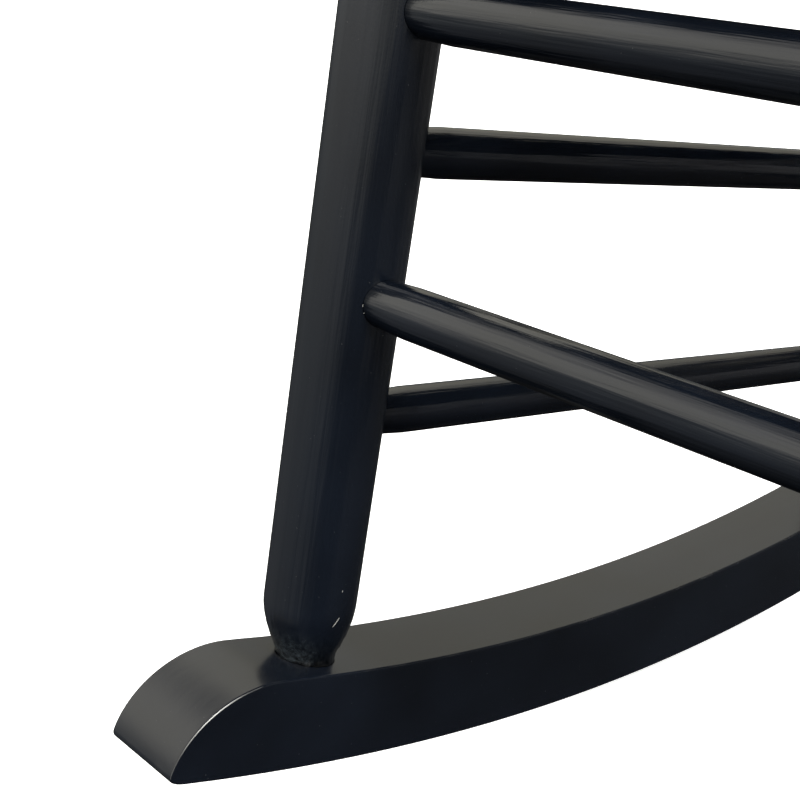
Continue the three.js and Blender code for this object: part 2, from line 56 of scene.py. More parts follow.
# Driving dimensions, as the CAD has them
GAP = 0.3 * MM
SOLE_RADIUS = 1301 * MM
SOLE_FLAT_HALF_ANGLE = math.radians(1)
ROCKER_THICKNESS = 46 * MM
ROCKER_DEPTH = 45.5 * MM
ROCKER_DEPTH_GROWTH = 3 * MM
NOSE_LENGTH = 54 * MM
TOE_BLUNTING = 5 * MM
TOE_ANGLE = math.radians(-9.78)      # from the sole's centre, with the legs upright
TAIL_ANGLE = math.radians(27.8)
NECK_RADIUS = 14 * MM
TENON_DEPTH = 24 * MM
FOOT_LENGTH = 26 * MM
LEG_FOOT_START = 3 * MM
POST_FOOT_START = 8 * MM
LEG_FOOT_RADIUS = 21.45 * MM
LEG_RADIUS = 22.75 * MM
LEG_FULL_HEIGHT = 350 * MM
ARM_TENON = 8 * MM
POST_FULL_HEIGHT = 620 * MM
POST_TOP_RADIUS = 17 * MM
CROSS_RUNG_RADII = (11.4 * MM, 11.7 * MM)
SIDE_RUNG_RADII = (10.9 * MM, 11.5 * MM)
SIDE_RUNG_RISE = math.radians(0.6)
BACK_RAIL_THICKNESS = 18 * MM
BACK_BOW = 22 * MM
CREST_HEIGHT = 92 * MM
LUMBAR = 15 * MM
LUMBAR_SCALE = 1.7                   # makes the slats' curve as deep as LUMBAR
BACK_SIDE_GAPS = 0.4                 # room beside the outer slats, in pitches
BACK_SLAT_WIDTH = 46 * MM
BACK_SLAT_THICKNESS = 9 * MM
ARM_THICKNESS = 22 * MM
ARM_INNER = 31 * MM
ARM_OUTER = 61 * MM
ARM_REAR_HALF = 22 * MM
ARM_CORNER = 28 * MM
ARM_TAPER_START = 0.2                # shares of the arm's length behind the leg
ARM_TAPER_EARLY = 0.6
ARM_TAPER_LATE = 0.7
SCREW = (5 * MM, 3.5 * MM, 2.5 * MM)   # radius and height of the head, radius of the shank
BOLT = (7.5 * MM, 2.5 * MM, 3 * MM)
COUNTERBORE = 30 * MM
BARREL_RADIUS = 5 * MM
BARREL_BORE = 20 * MM

# Looks that the plain CAD solids leave out
ROCKER_EDGE = 1 * MM                 # rounding of the sawn edges
BOARD_EDGE = 2.2 * MM
SLAT_EDGE = 2.8 * MM
ARM_EDGE = 5 * MM
RIM = 1.5 * MM                       # flat margin inside the rounded edges of rockers and arms
RUNG_NECK = 1.2 * MM                 # how much thinner a rung's tenon is
RUNG_TENON = 7 * MM
RUNG_TAPER = 24 * MM
NECK_END = 24 * MM                   # the uneven part of a leg's foot ends here
NECK_OFFSET = Vector((0.6, 0.7, 0)) * MM
NECK_LUMPS = 260                     # for each metre
NECK_LUMP_SIZE = 0.5 * MM
NECK_FRACTAL = (0.8, 2, 3)           # fall-off, lacunarity and octaves
POST_TIP = 0.2 * MM                  # the dome of a post stops at this radius
TURNED_SIDES = 96
RUNG_SIDES = 72
SMALL_SIDES = 48
CURVE_STEPS = 20
CORNER_STEPS = 12
EDGE_STEPS = 5
NOSE_STEPS = 28
SOLE_STEPS = (60, 44)                # in front of the flat and behind it
TOP_STEPS = 100
BOARD_STEPS = 24
SLAT_STEPS = 60
CUTTER_STEPS = 12
POST_CUT_HEIGHTS = (0.4, 0.8)        # the part of a back post that can cut an arm
SLAT_CUT_HEIGHTS = (0.23, 0.47)      # the part of a leg or post that can cut a seat slat
BOARD_END_EASING = 0.6               # share of the edge rounding that a board's ends are drawn in
CUTTER_EDGE = 0.1 * MM
CUTTER_CHAMFER = 0.01 * MM
PLUG_CROWN = ((0, 0.8 * MM), (0.35 * MM, 0.25 * MM), (1.2 * MM, 0))   # inset and drop
HEAD_PROFILE = ((0.86, 1), (0.95, 0.93), (1, 0.7), (1, 0))            # shares of radius and height
SHANK_STRAIGHT = 0.94
SHANK_TIP_RADIUS = 0.6
SOCKET_RADIUS = 0.42
SOCKET_FLOOR = 0.35
NUT_SLOT_WIDTH = 1.2 * MM
NUT_SLOT_DEPTH = 1 * MM


# ---- Where the frame puts things --------------------------------------------------------------

def centre(node):
    low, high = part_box(node)
    return (low + high) / 2


def leaned(up):
    """The rotation about X that turns +Z to a direction in the YZ plane."""
    return Matrix.Rotation(math.atan2(-up.y, up.z), 3, "X")


def box_in(node, turn):
    """Lowest and highest corner of a CAD node along the axes of a turned frame."""
    points = [turn.transposed() @ v.co for v in frame["nodes"][node].data.vertices]
    low = Vector([min(p[i] for p in points) for i in range(3)])
    high = Vector([max(p[i] for p in points) for i in range(3)])
    return low, high


def placed(turn, point):
    """The place in the row frame of a point in a turned frame, with that frame's axes."""
    return Matrix.Translation(turn @ Vector(point)) @ turn.to_4x4()


def mount(name):
    return next(m for m in frame["record"]["mounts"] if m["name"] == name)


seat_run = centre("seat_rear_rail") - centre("seat_front_rail")
LEG_TURN = leaned(centre("front_rung_upper") - centre("front_rung_lower"))
POST_TURN = leaned(centre("rear_rung_upper") - centre("rear_rung_lower"))
SEAT_TURN = leaned(Vector((0, -seat_run.z, seat_run.y)))
ARM_TURN = leaned(Vector(mount("arm_top_left")["axis"]))
LEAN = math.atan2(LEG_TURN[1][2], LEG_TURN[2][2])
RUNG_TURN = LEG_TURN @ Matrix.Rotation(SIDE_RUNG_RISE, 3, "X")
LEG_X = centre("rocker_left").x

random.seed(7)


# ---- Shapes ----------------------------------------------------------------------------------

def spread(start, end, steps):
    return [start + (end - start) * i / steps for i in range(steps + 1)]


def loft(rings):
    """A closed solid through rings of points, each with the same count, with flat ends."""
    bm = bmesh.new()
    loops = [[bm.verts.new(p) for p in ring] for ring in rings]
    count = len(rings[0])
    for low, high in zip(loops, loops[1:]):
        for i in range(count):
            j = (i + 1) % count
            bm.faces.new((low[i], low[j], high[j], high[i]))
    bm.faces.new(loops[0])
    bm.faces.new(loops[-1])
    bmesh.ops.recalc_face_normals(bm, faces=bm.faces)
    return bm


def circle(radius, height, sides):
    turns = [2 * math.pi * i / sides for i in range(sides)]
    return [(radius * math.cos(t), radius * math.sin(t), height) for t in turns]


def lathe(profile, sides):
    """A round solid about Z from (radius, height) points."""
    return loft([circle(radius, height, sides) for radius, height in profile])


def rod(radius, start, end, sides=RUNG_SIDES, chamfer=0.6 * MM, step=6 * MM):
    shaft = spread(start + chamfer, end - chamfer, max(1, round((end - start) / step)))
    thin = radius - chamfer
    return lathe([(thin, start), *((radius, h) for h in shaft), (thin, end)], sides)


def insets(outline, distance):
    """An outline in X and Y moved inward, along the normals at its points."""
    moved = []
    count = len(outline)
    for i, point in enumerate(outline):
        along = (Vector(outline[(i + 1) % count]) - Vector(outline[i - 1])).normalized()
        moved.append(Vector(point) + distance * Vector((-along.y, along.x)))
    return moved


def plate(outline, thickness, edge):
    """An anticlockwise outline made thick along Z, with rounded edges and a flat rim inside them."""
    half = thickness / 2
    levels = [(RIM + edge, half)]
    for turn in spread(0, math.pi / 2, EDGE_STEPS):
        levels.append((edge * (1 - math.sin(turn)), half - edge * (1 - math.cos(turn))))
    levels += [(inset, -z) for inset, z in reversed(levels)]
    return loft([[(p.x, p.y, z) for p in insets(outline, inset)] for inset, z in reversed(levels)])


def bezier(a, b, c, d, steps=CURVE_STEPS):
    """Points along a cubic curve, without its last point."""
    a, b, c, d = (Vector(point) for point in (a, b, c, d))
    points = []
    for t in spread(0, 1, steps)[:-1]:
        s = 1 - t
        points.append(a * s ** 3 + b * (3 * s * s * t) + c * (3 * s * t * t) + d * t ** 3)
    return points


def corner_arc(a, control, b):
    """A parabola from a to b, written as a cubic curve."""
    early, late = (Vector(end).lerp(Vector(control), 2 / 3) for end in (a, b))
    return bezier(a, early, late, b, CORNER_STEPS)


def rounded_rectangle(width, depth, corner, steps=EDGE_STEPS):
    """The anticlockwise outline of a rectangle with rounded corners, centred on the origin."""
    outline = []
    for quarter in range(4):
        turn = quarter * math.pi / 2
        x = (width / 2 - corner) * (1 if quarter in (0, 3) else -1)
        y = (depth / 2 - corner) * (1 if quarter in (0, 1) else -1)
        for angle in spread(turn, turn + math.pi / 2, steps):
            outline.append(Vector((x + corner * math.cos(angle), y + corner * math.sin(angle))))
    return outline


def board(size, edge):
    """A straight board with every edge eased: its longest side becomes the loft's Z."""
    order = sorted(range(3), key=lambda i: size[i])
    thin, wide, long = order
    outline = rounded_rectangle(size[thin], size[wide], edge)
    half = size[long] / 2
    stations = [-half, *spread(-half + edge, half - edge, BOARD_STEPS), half]
    eased = {-half: edge * BOARD_END_EASING, half: edge * BOARD_END_EASING}
    bm = loft([[(p.x, p.y, z) for p in insets(outline, eased.get(z, 0))] for z in stations])
    for v in bm.verts:
        moved = Vector((0, 0, 0))
        moved[thin], moved[wide], moved[long] = v.co
        v.co = moved
    bmesh.ops.recalc_face_normals(bm, faces=bm.faces)
    return bm


def block(size):
    """A sharp block, to cut a mortise or a groove with."""
    x, y, z = (s / 2 for s in size)
    ring = ((-x, -y), (x, -y), (x, y), (-x, y))
    return loft([[(a, b, h) for a, b in ring] for h in (-z, z)])


# ---- Pieces ----------------------------------------------------------------------------------

pieces = {}
tools = {}


def add_piece(name, bm, matrix, finish, grain=2, flat=False):
    """A piece that replaces the CAD node of its name. grain is the axis that its wood runs along."""
    mesh = bpy.data.meshes.new(name)
    bm.to_mesh(mesh)
    bm.free()
    piece = bpy.data.objects.new(name + "_look", mesh)
    bpy.context.scene.collection.objects.link(piece)
    piece.matrix_world = matrix
    pieces[name] = {"object": piece, "finish": finish, "grain": grain, "flat": flat}
    return piece


def bore(bm, matrix, *receivers):
    """Cuts a shape out of pieces. The cutting waits until every piece is there."""
    mesh = bpy.data.meshes.new("tool")
    bm.to_mesh(mesh)
    bm.free()
    tool = bpy.data.objects.new("tool", mesh)
    bpy.context.scene.collection.objects.link(tool)
    tool.matrix_world = matrix
    for receiver in receivers:
        tools.setdefault(receiver, []).append(tool)


def cut_pieces():
    for name, cutters in tools.items():
        piece = pieces[name]["object"]
        for cutter in cutters:
            modifier = piece.modifiers.new("bore", "BOOLEAN")
            modifier.operation = "DIFFERENCE"
            modifier.solver = "EXACT"
            modifier.object = cutter
        bpy.context.view_layer.update()
        depsgraph = bpy.context.evaluated_depsgraph_get()
        mesh = bpy.data.meshes.new_from_object(piece.evaluated_get(depsgraph), depsgraph=depsgraph)
        piece.modifiers.clear()
        piece.data = mesh
    for tool in {tool for cutters in tools.values() for tool in cutters}:
        bpy.data.objects.remove(tool)


# ---- Rockers ---------------------------------------------------------------------------------

sole_y = mount("sole_left")["pos_m"][1]
SOLE_CENTRE = Vector((sole_y, SOLE_RADIUS * math.cos(SOLE_FLAT_HALF_ANGLE)))


def rocker_depth(angle):
    """Depth of the rocker at an angle from the vertical, as the chair stands."""
    return ROCKER_DEPTH + ROCKER_DEPTH_GROWTH * (angle + LEAN)


def rocker_point(angle, depth):
    radius = SOLE_RADIUS - depth
    return SOLE_CENTRE + radius * Vector((math.sin(angle), -math.cos(angle)))


def bullnose(end_angle, inward):
    """A quarter ellipse from the sole's end up to the top face, with its lower corner rounded off."""
    depth = rocker_depth(end_angle)
    nose = [(NOSE_LENGTH * (1 - math.cos(turn)), depth * math.sin(turn))
            for turn in spread(math.asin(TOE_BLUNTING / depth), math.pi / 2, NOSE_STEPS)]
    corner = corner_arc((2 * TOE_BLUNTING, 0), (0, 0), nose[0])
    return [rocker_point(end_angle + inward * inset / SOLE_RADIUS, height)
            for inset, height in [*corner, *nose]]


def rocker_outline():
    """Anticlockwise in Y and Z: the sole from toe to tail, the tail's nose, the top and the toe's nose."""
    toe, tail = TOE_ANGLE - LEAN, TAIL_ANGLE - LEAN
    nose = NOSE_LENGTH / SOLE_RADIUS
    sole = [*spread(toe + nose / 2, -SOLE_FLAT_HALF_ANGLE, SOLE_STEPS[0]),
            *spread(SOLE_FLAT_HALF_ANGLE, tail - nose / 2, SOLE_STEPS[1])]
    top = spread(tail - nose, toe + nose, TOP_STEPS)[1:-1]
    return [
        *(rocker_point(angle, 0) for angle in sole),
        *bullnose(tail, -1),
        *(rocker_point(angle, rocker_depth(angle)) for angle in top),
        *reversed(bullnose(toe, 1)),
    ]


for side in SIDES:
    bm = plate(rocker_outline(), ROCKER_THICKNESS, ROCKER_EDGE)
    onto_side = Matrix(((0, 0, 1, 0), (1, 0, 0, 0), (0, 1, 0, 0), (0, 0, 0, 1)))
    bmesh.ops.transform(bm, matrix=onto_side, verts=bm.verts)
    add_piece(f"rocker_{side}", bm, Matrix.Translation((centre(f"rocker_{side}").x, 0, 0)), "rocker_paint",
              grain=1, flat=True)


# ---- Front legs and back posts ---------------------------------------------------------------

def rounded_end(radius, start, steps=NOSE_STEPS):
    growth = radius - NECK_RADIUS
    return [(NECK_RADIUS + growth * math.sin(turn), start + FOOT_LENGTH * turn / (math.pi / 2))
            for turn in spread(0, math.pi / 2, steps)]


def shaft(foot, head, steps):
    """Points between two (radius, height) points, without the points themselves."""
    return [(foot[0] + (head[0] - foot[0]) * t, foot[1] + (head[1] - foot[1]) * t)
            for t in spread(0, 1, steps)[1:-1]]


def tenon_foot(foot_start):
    """The tenon and the bare neck above it, with points close enough to be made uneven."""
    neck = spread(0, foot_start, 8)[:-1]
    return [(NECK_RADIUS, -TENON_DEPTH), *((NECK_RADIUS, height) for height in neck)]


def leg_profile(height):
    foot = rounded_end(LEG_FOOT_RADIUS, LEG_FOOT_START)
    end = rounded_end(LEG_RADIUS, LEG_FOOT_START)
    head = [(radius, height - distance) for radius, distance in reversed(end)]
    full = (LEG_RADIUS, LEG_FULL_HEIGHT)
    return [*tenon_foot(LEG_FOOT_START), *foot, *shaft(foot[-1], full, steps=70), full,
            *shaft(full, head[0], steps=34), *head, (NECK_RADIUS, height + ARM_TENON)]


def post_profile(height):
    foot = rounded_end(LEG_RADIUS, POST_FOOT_START)
    full = (LEG_RADIUS, POST_FULL_HEIGHT)
    dome = [(max(POST_TOP_RADIUS * math.cos(turn), POST_TIP),
             height - POST_TOP_RADIUS * (1 - math.sin(turn)))
            for turn in spread(0, math.pi / 2, CURVE_STEPS)]
    return [*tenon_foot(POST_FOOT_START), *foot, *shaft(foot[-1], full, steps=110), full,
            *shaft(full, dome[0], steps=90), *dome]


def foot_of(node, turn):
    """Where a leg's axis meets its rocker's top, in the leg's turned frame, and its height above that."""
    low, high = box_in(node, turn)
    middle = (low + high) / 2
    return Vector((middle.x, middle.y, low.z + TENON_DEPTH)), high.z - low.z - TENON_DEPTH


def uneven_neck(bm):
    """Hand work at a neck: it and its tenon stand a little off the axis, and its paint is lumpy."""
    for vert in bm.verts:
        share = min(1, max(0, 1 - vert.co.z / NECK_END))
        lump = noise.fractal(vert.co * NECK_LUMPS, *NECK_FRACTAL) if vert.co.z > 0 else 0
        outward = Vector((vert.co.x, vert.co.y, 0)).normalized()
        vert.co += share * (NECK_OFFSET + NECK_LUMP_SIZE * lump * outward)
    return bm


legs = {}
posts = {}
for side in SIDES:
    foot, height = foot_of(f"front_leg_{side}", LEG_TURN)
    legs[side] = foot
    add_piece(f"front_leg_{side}", uneven_neck(lathe(leg_profile(height - ARM_TENON), TURNED_SIDES)),
              placed(LEG_TURN, foot), "turned_paint")
    foot, height = foot_of(f"back_post_{side}", POST_TURN)
    posts[side] = foot
    add_piece(f"back_post_{side}", uneven_neck(lathe(post_profile(height), TURNED_SIDES)),
              placed(POST_TURN, foot), "turned_paint")
    for turn, foot in ((LEG_TURN, legs[side]), (POST_TURN, posts[side])):
        mortise = rod(NECK_RADIUS + GAP, -TENON_DEPTH - GAP, TENON_DEPTH, TURNED_SIDES, step=1)
        bore(mortise, placed(turn, foot + NECK_OFFSET), f"rocker_{side}")


# ---- Rungs -----------------------------------------------------------------------------------

def rung_profile(radius, half):
    """A rung that tapers a little to the tenons at its ends."""
    tenon = radius - RUNG_NECK
    chamfer = RUNG_NECK / 4
    end = [(tenon - chamfer, 0), (tenon, chamfer)]
    end += [(tenon, h) for h in spread(chamfer, RUNG_TENON, 4)[1:-1]]
    end += [(tenon + RUNG_NECK * t, RUNG_TENON + RUNG_TAPER * t) for t in spread(0, 1, 6)]
    middle = spread(-half + end[-1][1], half - end[-1][1], 80)[1:-1]
    return [*((r, h - half) for r, h in end), *((radius, h) for h in middle),
            *((r, half - h) for r, h in reversed(end))]


def add_rung(name, radius, turn, axis, receivers):
    """A rung along X or along Y of a turned frame, let into legs or posts."""
    low, high = box_in(name, turn)
    half = (high[axis] - low[axis]) / 2
    along = Matrix.Rotation(math.pi / 2, 4, "Y") if axis == 0 else Matrix.Rotation(-math.pi / 2, 4, "X")
    matrix = placed(turn, (low + high) / 2) @ along
    add_piece(name, lathe(rung_profile(radius, half), RUNG_SIDES), matrix, "turned_paint")
    hole = rod(radius - RUNG_NECK + 1.5 * GAP, -half - GAP, half + GAP, chamfer=CUTTER_CHAMFER, step=1)
    bore(hole, matrix, *receivers)


for i, level in enumerate(LEVELS):
    add_rung(f"front_rung_{level}", CROSS_RUNG_RADII[i], LEG_TURN, 0, ("front_leg_left", "front_leg_right"))
    add_rung(f"rear_rung_{level}", CROSS_RUNG_RADII[i], POST_TURN, 0, ("back_post_left", "back_post_right"))
    for side in SIDES:
        add_rung(f"side_rung_{level}_{side}", SIDE_RUNG_RADII[i], RUNG_TURN, 1,
                 (f"front_leg_{side}", f"back_post_{side}"))


# ---- Seat ------------------------------------------------------------------------------------

def add_board(name, turn, edge, receivers, grain):
    """A straight board as big as its CAD node, let into other pieces."""
    low, high = box_in(name, turn)
    matrix = placed(turn, (low + high) / 2)
    add_piece(name, board(high - low, edge), matrix, "board_paint", grain=grain, flat=True)
    if receivers:
        bore(block([s + 2 * GAP for s in high - low]), matrix, *receivers)


add_board("seat_front_rail", SEAT_TURN, BOARD_EDGE, ("front_leg_left", "front_leg_right"), 0)
add_board("seat_rear_rail", SEAT_TURN, BOARD_EDGE, ("back_post_left", "back_post_right"), 0)
for side in SIDES:
    add_board(f"seat_side_rail_{side}", SEAT_TURN, BOARD_EDGE, (f"front_leg_{side}", f"back_post_{side}"), 1)


def slope_of(node):
    """The frame of a board that only leans about X: its widest face is found from its own normals."""
    faces = sorted(frame["nodes"][node].data.polygons, key=lambda p: p.area)
    up = faces[-1].normal
    return leaned(up if up.z > 0 else -up)


seat_slats = sorted(name for name in frame["nodes"] if name.startswith("seat_slat_"))
for name in seat_slats:
    add_board(name, slope_of(name), SLAT_EDGE, ("seat_side_rail_left", "seat_side_rail_right"), 0)
for side in SIDES:
    clearance = LEG_RADIUS + 2 * GAP
    for matrix, slat in ((placed(LEG_TURN, legs[side]), seat_slats[0]),
                         (placed(POST_TURN, posts[side]), seat_slats[-1])):
        bore(rod(clearance, *SLAT_CUT_HEIGHTS, TURNED_SIDES, step=1), matrix, slat)


# ---- Back ------------------------------------------------------------------------------------

def bow(x):
    """How far behind the posts the back is bowed at a place across it."""
    return BACK_BOW * (1 - (x / LEG_X) ** 2)


def bowed_board(half_length, low_edge, top_edge, grow, edge, steps):
    """A bowed board across the back, from its lower edge up to a top edge that may be arched."""
    rings = []
    for x in spread(-half_length, half_length, steps):
        low, high = low_edge, top_edge(x)
        section = rounded_rectangle(BACK_RAIL_THICKNESS + 2 * grow, high - low + 2 * grow, edge)
        rings.append([(x, bow(x) + p.x, (low + high) / 2 + p.y) for p in section])
    return loft(rings)


def add_back_rail(name, top_edge_of, steps):
    low, high = box_in(name, POST_TURN)
    half = (high.x - low.x) / 2
    matrix = placed(POST_TURN, (0, posts["left"].y, low.z))
    top_edge = top_edge_of(high.z - low.z)
    rail = bowed_board(half, 0, top_edge, 0, BOARD_EDGE, steps)
    add_piece(name, rail, matrix, "board_paint", grain=0, flat=True)
    mortise = bowed_board(half + GAP, 0, top_edge, GAP, CUTTER_EDGE, CUTTER_STEPS)
    bore(mortise, matrix, "back_post_left", "back_post_right")


def straight_top(height):
    return lambda x: height


def arched_top(height):
    arch_end = LEG_X - 2 * LEG_RADIUS

    def top(x):
        share = math.cos(math.pi * x / (2 * arch_end)) ** 2 if abs(x) < arch_end else 0
        return CREST_HEIGHT + (height - CREST_HEIGHT) * share

    return top


add_back_rail("lower_back_rail", straight_top, steps=48)
add_back_rail("crest_rail", arched_top, steps=72)


def bent_slat(width, length, grow, edge, steps):
    """An upright slat with a lumbar curve."""
    rings = []
    for z in spread(-grow, length + grow, steps):
        along = z / length
        forward = LUMBAR_SCALE * LUMBAR * math.sin(math.pi * along) * (1 - along)
        section = rounded_rectangle(width + 2 * grow, BACK_SLAT_THICKNESS + 2 * grow, edge)
        rings.append([(p.x, p.y - forward, z) for p in section])
    return loft(rings)


back_slats = sorted(name for name in frame["nodes"] if name.startswith("back_slat_"))
slat_pitch = 2 * (LEG_X - LEG_RADIUS) / (len(back_slats) + BACK_SIDE_GAPS)
for i, name in enumerate(back_slats):
    low, high = box_in(name, POST_TURN)
    x = (i - (len(back_slats) - 1) / 2) * slat_pitch
    turn = math.atan(-2 * BACK_BOW * x / LEG_X ** 2)
    matrix = placed(POST_TURN, (x, posts["left"].y + bow(x), low.z)) @ Matrix.Rotation(turn, 4, "Z")
    length = high.z - low.z
    slat = bent_slat(BACK_SLAT_WIDTH, length, 0, SLAT_EDGE, SLAT_STEPS)
    add_piece(name, slat, matrix, "board_paint", flat=True)
    mortise = bent_slat(BACK_SLAT_WIDTH, length, GAP, CUTTER_EDGE, CUTTER_STEPS)
    bore(mortise, matrix, "lower_back_rail", "crest_rail")


# ---- Arms ------------------------------------------------------------------------------------

def arm_outline(front, rear):
    """The left arm from above, anticlockwise, with its origin over the front leg."""
    inner, outer, half, corner = -ARM_INNER, ARM_OUTER, ARM_REAR_HALF, ARM_CORNER
    start, early, late = (rear * share for share in (ARM_TAPER_START, ARM_TAPER_EARLY, ARM_TAPER_LATE))
    return [
        *bezier((-half, rear), (-half, late), (inner, early), (inner, start)),
        *spread(Vector((inner, start)), Vector((inner, front + corner)), 10)[:-1],
        *corner_arc((inner, front + corner), (inner, front), (inner + corner, front)),
        *spread(Vector((inner + corner, front)), Vector((outer - corner, front)), 6)[:-1],
        *corner_arc((outer - corner, front), (outer, front), (outer, front + corner)),
        *spread(Vector((outer, front + corner)), Vector((outer, start)), 10)[:-1],
        *bezier((outer, start), (outer, early), (half, late), (half, rear)),
        *spread(Vector((half, rear)), Vector((-half, rear)), 6)[:-1],
    ]


for side in SIDES:
    low, high = box_in(f"arm_{side}", ARM_TURN)
    over_leg = centre(f"arm_plug_{side}")
    origin = ARM_TURN.transposed() @ over_leg
    origin.z = (low.z + high.z) / 2
    rear = high.y - origin.y
    bm = plate(arm_outline(low.y - origin.y, rear), ARM_THICKNESS, ARM_EDGE)
    if side == "right":
        bmesh.ops.scale(bm, vec=(-1, 1, 1), verts=bm.verts)
        bmesh.ops.reverse_faces(bm, faces=bm.faces)
    add_piece(f"arm_{side}", bm, placed(ARM_TURN, origin), "board_paint", grain=1, flat=True)
    cope = rod(LEG_RADIUS + GAP, *POST_CUT_HEIGHTS, TURNED_SIDES, step=1)
    bore(cope, placed(POST_TURN, posts[side]), f"arm_{side}")

    low, high = box_in(f"arm_plug_{side}", ARM_TURN)
    radius = (high.x - low.x) / 2
    top = high.z - low.z
    profile = [(radius, 0), *((radius - inset, top - drop) for inset, drop in PLUG_CROWN)]
    foot = Vector(((low.x + high.x) / 2, (low.y + high.y) / 2, low.z))
    add_piece(f"arm_plug_{side}", lathe(profile, SMALL_SIDES), placed(ARM_TURN, foot), "board_paint")
    hole = rod(radius + GAP / 2, -GAP, top + GAP, SMALL_SIDES, step=1)
    bore(hole, placed(ARM_TURN, foot), f"arm_{side}")


# ---- Fasteners -------------------------------------------------------------------------------

UP, BACKWARD, FORWARD = 0, -math.pi / 2, math.pi / 2


def headed(radius, height, shank, length):
    """A screw or bolt along Z, its round head below the origin and its shank above."""
    head = [(radius * wide, -height * deep) for wide, deep in HEAD_PROFILE]
    shaft_end = [(shank, 0), (shank, length * SHANK_STRAIGHT), (shank * SHANK_TIP_RADIUS, length)]
    return lathe([*head, *shaft_end], SMALL_SIDES)


def add_fastener(name, turn, direction, radius, height, shank, receivers):
    """A fastener in place of its CAD node, with a hexagon socket in its head, sunk in a counterbore."""
    low, high = box_in(name, turn)
    middle = (low + high) / 2
    axis = 2 if direction == UP else 1
    length = high[axis] - low[axis] - height
    seat = Vector(middle)
    seat[axis] = high[axis] - height if direction == FORWARD else low[axis] + height
    matrix = placed(turn, seat) @ Matrix.Rotation(direction, 4, "X")
    add_piece(name, headed(radius, height, shank, length), matrix, "steel")
    socket = rod(radius * SOCKET_RADIUS, -2 * height, -height * SOCKET_FLOOR, sides=6, step=1)
    bore(socket, matrix, name)
    hole = rod(radius + 2 * GAP, -COUNTERBORE, GAP, SMALL_SIDES, chamfer=CUTTER_CHAMFER, step=1)
    bore(hole, matrix, *receivers)


for side in SIDES:
    leg, post, rail = f"front_leg_{side}", f"back_post_{side}", f"seat_side_rail_{side}"
    rocker = f"rocker_{side}"
    add_fastener(f"rocker_screw_front_{side}", LEG_TURN, UP, *SCREW, (rocker,))
    add_fastener(f"rocker_screw_rear_{side}", POST_TURN, UP, *SCREW, (rocker,))
    add_fastener(f"arm_screw_rear_{side}", ARM_TURN, FORWARD, *SCREW, (post,))
    add_fastener(f"seat_bolt_front_{side}", SEAT_TURN, BACKWARD, *BOLT, (leg,))
    add_fastener(f"seat_bolt_rear_{side}", SEAT_TURN, FORWARD, *BOLT, (post,))
    for end in ENDS:
        name = f"barrel_nut_{end}_{side}"
        low, high = box_in(name, SEAT_TURN)
        half = (high.x - low.x) / 2
        inward = math.pi / 2 if side == "right" else -math.pi / 2
        matrix = placed(SEAT_TURN, (low + high) / 2) @ Matrix.Rotation(inward, 4, "Y")
        add_piece(name, rod(BARREL_RADIUS, -half, half, SMALL_SIDES), matrix, "steel")
        slot = block((NUT_SLOT_WIDTH, 4 * BARREL_RADIUS, 2 * NUT_SLOT_DEPTH))
        bore(slot, matrix @ Matrix.Translation((0, 0, half)), name)
        hole = rod(BARREL_RADIUS + GAP, -half - GAP, half + BARREL_BORE, SMALL_SIDES,
                   chamfer=CUTTER_CHAMFER, step=1)
        bore(hole, matrix, rail)

cut_pieces()


# ---- Materials -------------------------------------------------------------------------------

class Nodes:
    """Shorthand for building a material's node tree."""

    def __init__(self, name):
        self.material = bpy.data.materials.new(name)
        self.material.use_nodes = True
        self.tree = self.material.node_tree
        self.shader = self.tree.nodes["Principled BSDF"]
        self.grain = self.add("ShaderNodeAttribute", attribute_name="grain").outputs["Vector"]
        self.edge = self.attribute("edge")

    def add(self, kind, inputs=None, **settings):
        node = self.tree.nodes.new(kind)
        for key, value in settings.items():
            setattr(node, key, value)
        for key, value in (inputs or {}).items():
            if isinstance(value, bpy.types.NodeSocket):
                self.tree.links.new(value, node.inputs[key])
            else:
                node.inputs[key].default_value = value
        return node

    def attribute(self, name):
        return self.add("ShaderNodeAttribute", attribute_name=name).outputs["Fac"]

    def stretched(self, squeeze):
        """The grain coordinates, squeezed along the grain so that a pattern runs out along it."""
        inputs = {"Vector": self.grain, "Scale": (1, 1, squeeze)}
        return self.add("ShaderNodeMapping", inputs).outputs["Vector"]

    def noise(self, scale, vector=None, detail=3, roughness=0.5):
        inputs = {"Vector": vector or self.grain, "Scale": scale, "Detail": detail, "Roughness": roughness}
        return self.add("ShaderNodeTexNoise", inputs).outputs["Fac"]

    def ramp(self, value, low, high, to_low=0, to_high=1):
        inputs = {"Value": value, "From Min": low, "From Max": high, "To Min": to_low, "To Max": to_high}
        return self.add("ShaderNodeMapRange", inputs).outputs["Result"]

    def maths(self, operation, a, b):
        return self.add("ShaderNodeMath", {0: a, 1: b}, operation=operation).outputs[0]

    def product(self, a, b):
        return self.maths("MULTIPLY", a, b)

    def blend(self, factor, a, b):
        """One colour over another. A factor of 1 gives the second."""
        node = self.add("ShaderNodeMix", {"Factor": factor}, data_type="RGBA")
        for socket, value in zip([i for i in node.inputs if i.type == "RGBA"], (a, b)):
            if isinstance(value, bpy.types.NodeSocket):
                self.tree.links.new(value, socket)
            else:
                socket.default_value = (*value, 1)
        return next(o for o in node.outputs if o.type == "RGBA")

    def bump(self, height, distance, below=None):
        inputs = {"Height": height, "Distance": distance}
        if below:
            inputs["Normal"] = below
        return self.add("ShaderNodeBump", inputs).outputs["Normal"]

    def connect(self, **sockets):
        for name, value in sockets.items():
            self.tree.links.new(value, self.shader.inputs[name.replace("_", " ")])


